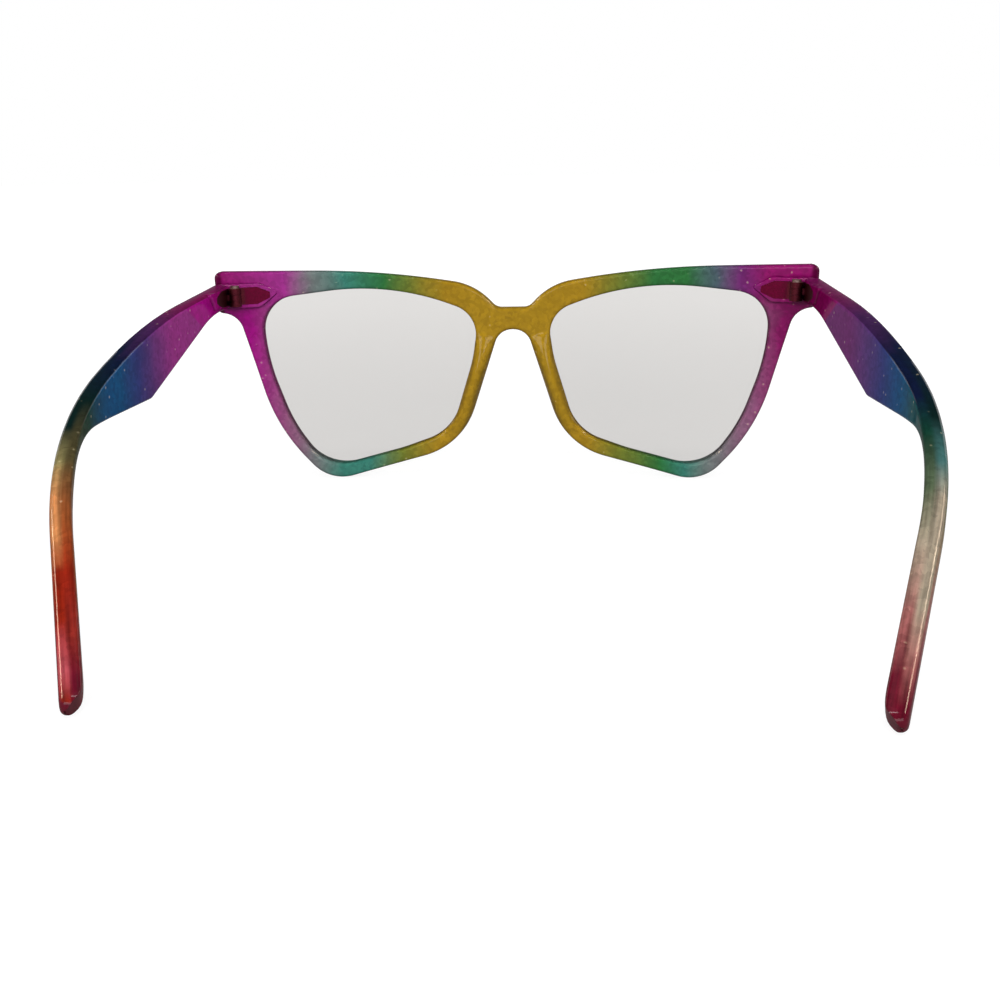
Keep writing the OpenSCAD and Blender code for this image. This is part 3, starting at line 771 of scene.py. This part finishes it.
def frontColour(tree, parts, facing, drift):
    # Brow colours above, rim colours below. Painted shade: darker where the surface turns away from front
    # and rear, and a dark maroon over the far ends.
    along = maths(tree, "ADD", parts["X"], drift)
    side = maths(tree, "ABSOLUTE", parts["X"])
    level = maths(tree, "SUBTRACT", parts["Z"], mapped(
        tree, side, browLine["risesFrom"], browLine["risesTo"], 0.0, browLine["rise"]))
    high = mapped(tree, level, browLine["from"], browLine["to"], 0.0, 1.0)
    colour = mixed(tree, high, colourAlong(tree, along, rimStops), colourAlong(tree, along, browStops))
    # Painted shade: darker on faces that turn away from front and rear
    flat = maths(tree, "ABSOLUTE", facing["Y"])
    colour = scaled(tree, colour, mapped(
        tree, flat, frontEdgeShade["turned"], frontEdgeShade["flat"], frontEdgeShade["darkest"], 1.0))
    # Painted shade: a dark maroon over the end walls
    far = mapped(tree, side, frontEdgeShade["endFrom"], frontEdgeShade["endTo"], 0.0, frontEdgeShade["endShadeShare"])
    return mixed(tree, far, colour, linear(frontEdgeShade["endShadeColour"]))


def templeColour(stops):
    # The colour function of a temple. Its top has colours of its own, mixed in by how far a face looks up:
    # painted shade, darker than the sides along the root and blade, and on the ear piece a lighter outer
    # half
    # that is partly painted highlight. Near the root the step between two dyes runs at a slant:
    # place = y - slope (z - height).
    def colourOf(tree, parts, facing, drift):
        along = maths(tree, "ADD", parts["Y"], drift)
        slanted = maths(tree, "SUBTRACT", parts["Y"], mapped(
            tree, parts["Z"], rootLine["height"] - rootLine["half"], rootLine["height"] + rootLine["half"],
            -rootLine["half"] * rootLine["slope"], rootLine["half"] * rootLine["slope"], False))
        nearRoot = mapped(tree, parts["Y"], rootLine["from"], rootLine["to"], 1.0, 0.0, False)
        line = addNode(tree, "ShaderNodeMix", {"Factor": nearRoot, 2: along, 3: slanted}).outputs[0]
        depth = addNode(tree, "ShaderNodeUVMap", {}, uv_map="across").outputs[0]
        depth = addNode(tree, "ShaderNodeSeparateXYZ", {"Vector": depth}).outputs["Y"]
        # The top's painted shading, its outer and inner half
        across = mapped(tree, depth, streaks["from"], streaks["to"], 0.0, 1.0)
        top = mixed(tree, across, colourAlong(tree, along, stops["outerTopShading"]),
                    colourAlong(tree, along, stops["innerTopShading"]))
        # Long streaks on the ear piece: noise that is stretched lengthwise, as a factor about 1
        lines = addNode(tree, "ShaderNodeCombineXYZ", {
            "X": maths(tree, "MULTIPLY", depth, streaks["across"]),
            "Y": maths(tree, "MULTIPLY", parts["Y"], streaks["along"])}).outputs[0]
        lines = addNode(tree, "ShaderNodeTexNoise", {
            "Vector": lines, "Scale": 1.0, "Detail": 2.0}).outputs["Fac"]
        depths = mapped(tree, parts["Y"], streaks["startFrom"], streaks["startTo"], 0.0, streaks["deep"])
        lines = maths(tree, "MULTIPLY", depths, mapped(
            tree, lines, streaks["dark"], streaks["light"], -1.0, 1.0, False))
        top = scaled(tree, top, maths(tree, "ADD", lines, 1.0))
        # Painted shading: the top's colours take over where a face looks up
        topShadingShare = mapped(tree, facing["Z"], upwardFrom, upwardTo, 0.0, 1.0)
        return mixed(tree, topShadingShare, colourAlong(tree, line, stops["sides"]), top)
    return colourOf


# Hinge colours: painted shade and painted reflection of the magenta plastic make the steel dark maroon; the
# front leaf's non-metal sheet is painted shade
steelLook = {"colour": "#3E141C", "roughness": 0.4, "leafShade": "#5A0026", "leafShadeEdge": 0.0664,
             "leafShadeFade": 0.0004, "leafShadeRoughness": 0.3, "leafShadeIor": 1.49, "leafShadeGloss": 0.06,
             "grainScale": 2500.0, "grainRoughness": 0.08, "screwColour": "#6A5854", "screwRoughness": 0.35}


def satinSteel(name, code, roughness, leafShaded=False):
    # Worn satin metal: soft grey glints. Its colour is a dark maroon of painted shade and painted reflection
    # of the magenta plastic, and the front leaf inboard of its edge gets a dark maroon non-metal sheet of
    # painted shade.
    material = newMaterial(name)
    tree = material.node_tree
    place = addNode(tree, "ShaderNodeTexCoord").outputs["Object"]
    grain = addNode(tree, "ShaderNodeTexNoise", {
        "Vector": place, "Scale": steelLook["grainScale"], "Detail": 2.0}).outputs["Fac"]
    rough = steelLook["grainRoughness"]
    tint = scaled(tree, linear(code)[:3], mapped(tree, grain, 0.2, 0.8, 0.7, 1.3, False))
    metal = addNode(tree, "ShaderNodeBsdfPrincipled", {
        "Base Color": tint, "Metallic": 1.0,
        "Roughness": mapped(tree, grain, 0.0, 1.0, roughness - rough, roughness + rough, False)}).outputs[0]
    # Painted shade: a dark maroon non-metal sheet over the front leaf, inboard of its edge
    if leafShaded:
        patchy = mapped(tree, grain, 0.2, 0.8, 0.6, 1.4, False)
        leafShade = addNode(tree, "ShaderNodeBsdfPrincipled", {
            "Base Color": scaled(tree, linear(steelLook["leafShade"])[:3], patchy),
            "Roughness": steelLook["leafShadeRoughness"], "IOR": steelLook["leafShadeIor"],
            "Specular IOR Level": steelLook["leafShadeGloss"]}).outputs[0]
        side = addNode(tree, "ShaderNodeSeparateXYZ", {"Vector": place}).outputs["X"]
        leaf = mapped(tree, maths(tree, "ABSOLUTE", side), steelLook["leafShadeEdge"] - steelLook["leafShadeFade"],
                      steelLook["leafShadeEdge"] + steelLook["leafShadeFade"], 1.0, 0.0)
        metal = addNode(tree, "ShaderNodeMixShader", {0: leaf, 1: metal, 2: leafShade}).outputs[0]
    addNode(tree, "ShaderNodeOutputMaterial", {"Surface": metal})
    return material


lensLook = {"clearest": "#E8E7E6", "greyest": "#E7E6E5", "hazeScale": 30.0, "ior": 1.3, "roughness": 0.03}


def clearLens(name):
    # Polished clear lens: light grey tint at each of its two faces, and a weak mirror image where
    # light comes in. Factor = Fresnel times (1 - back of the face), so that no light is caught inside.
    material = newMaterial(name)
    tree = material.node_tree
    place = addNode(tree, "ShaderNodeTexCoord").outputs["Object"]
    haze = addNode(tree, "ShaderNodeTexNoise", {
        "Vector": place, "Scale": lensLook["hazeScale"]}).outputs["Fac"]
    tint = mixed(tree, haze, linear(lensLook["greyest"]), linear(lensLook["clearest"]))
    clear = addNode(tree, "ShaderNodeBsdfTransparent", {"Color": tint})
    shine = addNode(tree, "ShaderNodeBsdfAnisotropic", {
        "Color": (1, 1, 1, 1), "Roughness": lensLook["roughness"]})
    edge = addNode(tree, "ShaderNodeFresnel", {"IOR": lensLook["ior"]}).outputs[0]
    behind = addNode(tree, "ShaderNodeNewGeometry").outputs["Backfacing"]
    mirror = maths(tree, "MULTIPLY", edge, maths(tree, "SUBTRACT", 1.0, behind))
    both = addNode(tree, "ShaderNodeMixShader", {0: mirror, 1: clear.outputs[0], 2: shine.outputs[0]})
    addNode(tree, "ShaderNodeOutputMaterial", {"Surface": both.outputs[0]})
    return material


frontPlastic = plastic("front plastic", frontColour)
leftPlastic = plastic("left temple plastic", templeColour(leftStops))
rightPlastic = plastic("right temple plastic", templeColour(rightStops))
lensMaterial = clearLens("clear lens")
hingeSteel = satinSteel("hinge steel", steelLook["colour"], steelLook["roughness"], True)
screwSteel = satinSteel("screw steel", steelLook["screwColour"], steelLook["screwRoughness"])


def addAcross(piece, away):
    # Second coordinate of the map: depth below the outer face as a share of the thickness
    layer = piece.data.uv_layers.new(name="across")
    corners = np.empty(len(piece.data.loops), int)
    piece.data.loops.foreach_get("vertex_index", corners)
    values = np.stack([np.zeros(len(corners)), away[corners]], -1)
    layer.data.foreach_set("uv", values.ravel().astype(np.float32))


def settled(part):
    # Moved forwards so that the middle from front to back is the frame's
    return part[0] - np.array([0, originY, 0]), part[1]


away = (faceX(templePart[0][:, 1], 0.0) - templePart[0][:, 0]) / temple["thick"]
addPiece("front_plastic", settled(frontPart), frontPlastic, "front", ["front_frame"])
leftPiece = addPiece("left_temple_plastic", settled(templePart), leftPlastic,
                     "left_temple_arm", ["left_temple"])
rightPiece = addPiece("right_temple_plastic", mirrored(settled(templePart)), rightPlastic,
                      "right_temple_arm", ["right_temple"])
addAcross(leftPiece, away)
addAcross(rightPiece, away)
for name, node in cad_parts.items():
    if name.endswith("lens"):
        finish = lensMaterial
    elif name.endswith("screw"):
        finish = screwSteel
    elif name.endswith("hinge"):
        finish = hingeSteel
    else:
        continue
    node.data.materials.clear()
    node.data.materials.append(finish)
print("stage: materials set")


# Floor, lights, camera

room = {"floorSize": 3.0, "floorGrey": 0.18, "nearGlow": 0.86, "farGlow": 1.0, "nearAt": 0.12, "farAt": 0.5,
        "fill": 0.24, "ceiling": 0.25, "ceilingFrom": 0.12, "ceilingTo": 0.35}


def buildFloor():
    # White ground for what the camera sees, and in mirror images; its own light grows from the middle
    # outwards, so that the pieces keep a faint shadow on it
    size = room["floorSize"]
    mesh = bpy.data.meshes.new("floor")
    corners = [(-size, -size, 0), (size, -size, 0), (size, size, 0), (-size, size, 0)]
    mesh.from_pydata(corners, [], [(0, 1, 2, 3)])
    material = newMaterial("white ground")
    tree = material.node_tree
    path = addNode(tree, "ShaderNodeLightPath").outputs
    seen = maths(tree, "MAXIMUM", path["Is Camera Ray"], maths(
        tree, "MAXIMUM", path["Is Transmission Ray"], path["Is Glossy Ray"]))
    place = addNode(tree, "ShaderNodeTexCoord").outputs["Object"]
    far = addNode(tree, "ShaderNodeVectorMath", {0: place}, operation="LENGTH").outputs["Value"]
    glow = maths(tree, "MULTIPLY", seen, mapped(
        tree, far, room["nearAt"], room["farAt"], room["nearGlow"], room["farGlow"]))
    grey = (room["floorGrey"], room["floorGrey"], room["floorGrey"], 1)
    bsdf = addNode(tree, "ShaderNodeBsdfPrincipled", {
        "Base Color": grey, "Roughness": 1.0, "Specular IOR Level": 0.0,
        "Emission Color": (1, 1, 1, 1), "Emission Strength": glow})
    addNode(tree, "ShaderNodeOutputMaterial", {"Surface": bsdf.outputs[0]})
    mesh.materials.append(material)
    floor = bpy.data.objects.new("floor", mesh)
    bpy.context.collection.objects.link(floor)
    floor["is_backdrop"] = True


def buildWorld():
    # White for the camera and through the lenses. Mirror images show it white near the horizon and
    # darker towards the ceiling. Everything else gets an even, weak light from it.
    world = bpy.data.worlds.new("white room")
    bpy.context.scene.world = world
    world.use_nodes = True
    tree = world.node_tree
    tree.nodes.clear()
    path = addNode(tree, "ShaderNodeLightPath").outputs
    way = addNode(tree, "ShaderNodeTexCoord").outputs["Generated"]
    up = addNode(tree, "ShaderNodeSeparateXYZ", {"Vector": way}).outputs["Z"]
    mirrored = maths(tree, "MULTIPLY", path["Is Glossy Ray"], mapped(
        tree, up, room["ceilingFrom"], room["ceilingTo"], 1.0, room["ceiling"]))
    seen = maths(tree, "MAXIMUM", mirrored, maths(
        tree, "MAXIMUM", path["Is Camera Ray"], path["Is Transmission Ray"]))
    strength = maths(tree, "MAXIMUM", seen, room["fill"])
    back = addNode(tree, "ShaderNodeBackground", {"Color": (1, 1, 1, 1), "Strength": strength})
    addNode(tree, "ShaderNodeOutputWorld", {"Surface": back.outputs[0]})


def addLight(name, place, aim, width, height, watts, mirrorOnly=False, colour="#FFFFFF"):
    # A lamp that is mirrorOnly shows in gloss, as a window does, and adds nothing to the plain light
    data = bpy.data.lights.new(name, "AREA")
    data.shape = "RECTANGLE"
    data.size, data.size_y, data.energy = width, height, watts
    data.color = linear(colour)[:3]
    lamp = bpy.data.objects.new(name, data)
    lamp.location = place
    lamp.visible_diffuse = not mirrorOnly
    lamp.rotation_mode = "QUATERNION"
    lamp.rotation_quaternion = (Vector(aim) - Vector(place)).to_track_quat("-Z", "Y")
    bpy.context.collection.objects.link(lamp)
    lamp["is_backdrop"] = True


buildFloor()
buildWorld()
lights = {
    "overhead": {"place": (0.0, 0.2, 0.9), "aim": (0, 0, 0.02), "width": 0.5, "height": 0.4, "watts": 0.7},
    "strip": {"place": (0.0, 0.3, 0.85), "aim": (0, 0, 0.02), "width": 0.5, "height": 0.03, "watts": 1.6},
    "behind left": {"place": (0.4, 0.85, 0.35), "aim": (0, 0, 0.03), "width": 0.5, "height": 0.35,
                    "watts": 5.2},
    "behind right": {"place": (-0.4, 0.85, 0.35), "aim": (0, 0, 0.03), "width": 0.5, "height": 0.35,
                     "watts": 5.2},
    "front left": {"place": (0.65, -0.55, 0.35), "aim": (0, 0, 0.03), "width": 0.4, "height": 0.4,
                   "watts": 3.1},
    "front right": {"place": (-0.65, -0.55, 0.35), "aim": (0, 0, 0.03), "width": 0.4, "height": 0.4,
                    "watts": 3.1},
    "window left": {"place": (0.75, 0.05, 0.55), "aim": (0, 0.05, 0.02), "width": 0.4, "height": 0.2,
                    "watts": 15, "mirrorOnly": True, "colour": "#FFE6C8"},
    "window right": {"place": (-0.65, 0.05, 0.62), "aim": (0, 0.05, 0.02), "width": 0.4, "height": 0.2,
                     "watts": 15, "mirrorOnly": True, "colour": "#FFE6C8"},
}
for name, light in lights.items():
    addLight(name, **light)

camera = {
    "azimuth": 2.91, "elevation": 11.04, "distance": 293.95, "yaw": 5.14, "pitch": 16.35, "roll": -1.26,
    "focal": 1168.9, "centre": (469.0, 488.1), "target": (0.0, -59.623, 27.15), "pixels": 1000,
    "sensor": 36.0,
}


def buildCamera():
    # The viewing position is given round a target point, and the direction by yaw, pitch and roll
    azimuth, elevation, yaw, pitch, roll = [
        math.radians(camera[k]) for k in ("azimuth", "elevation", "yaw", "pitch", "roll")]
    back = Vector((-math.sin(azimuth) * math.cos(elevation), math.cos(azimuth) * math.cos(elevation),
                   math.sin(elevation)))
    place = (Vector(camera["target"]) + back * camera["distance"]) * millimetre
    ahead = Vector((math.sin(yaw) * math.cos(pitch), -math.cos(yaw) * math.cos(pitch), -math.sin(pitch)))
    right = ahead.cross(Vector((0, 0, 1))).normalized()
    up = right.cross(ahead)
    right, up = (right * math.cos(roll) + up * math.sin(roll), up * math.cos(roll) - right * math.sin(roll))
    data = bpy.data.cameras.new("camera")
    data.sensor_width = camera["sensor"]
    data.lens = camera["focal"] / camera["pixels"] * camera["sensor"]
    data.shift_x = 0.5 - camera["centre"][0] / camera["pixels"]
    data.shift_y = camera["centre"][1] / camera["pixels"] - 0.5
    data.clip_start, data.clip_end = 0.01, 20
    eye = bpy.data.objects.new("camera", data)
    turn = Matrix((right, up, -ahead)).transposed().to_4x4()
    eye.matrix_world = Matrix.Translation(place) @ turn
    bpy.context.collection.objects.link(eye)
    bpy.context.scene.camera = eye


buildCamera()
bpy.context.scene.view_settings.view_transform = "Standard"
print("stage: camera set")

sizes["visual"] = plainBounds()
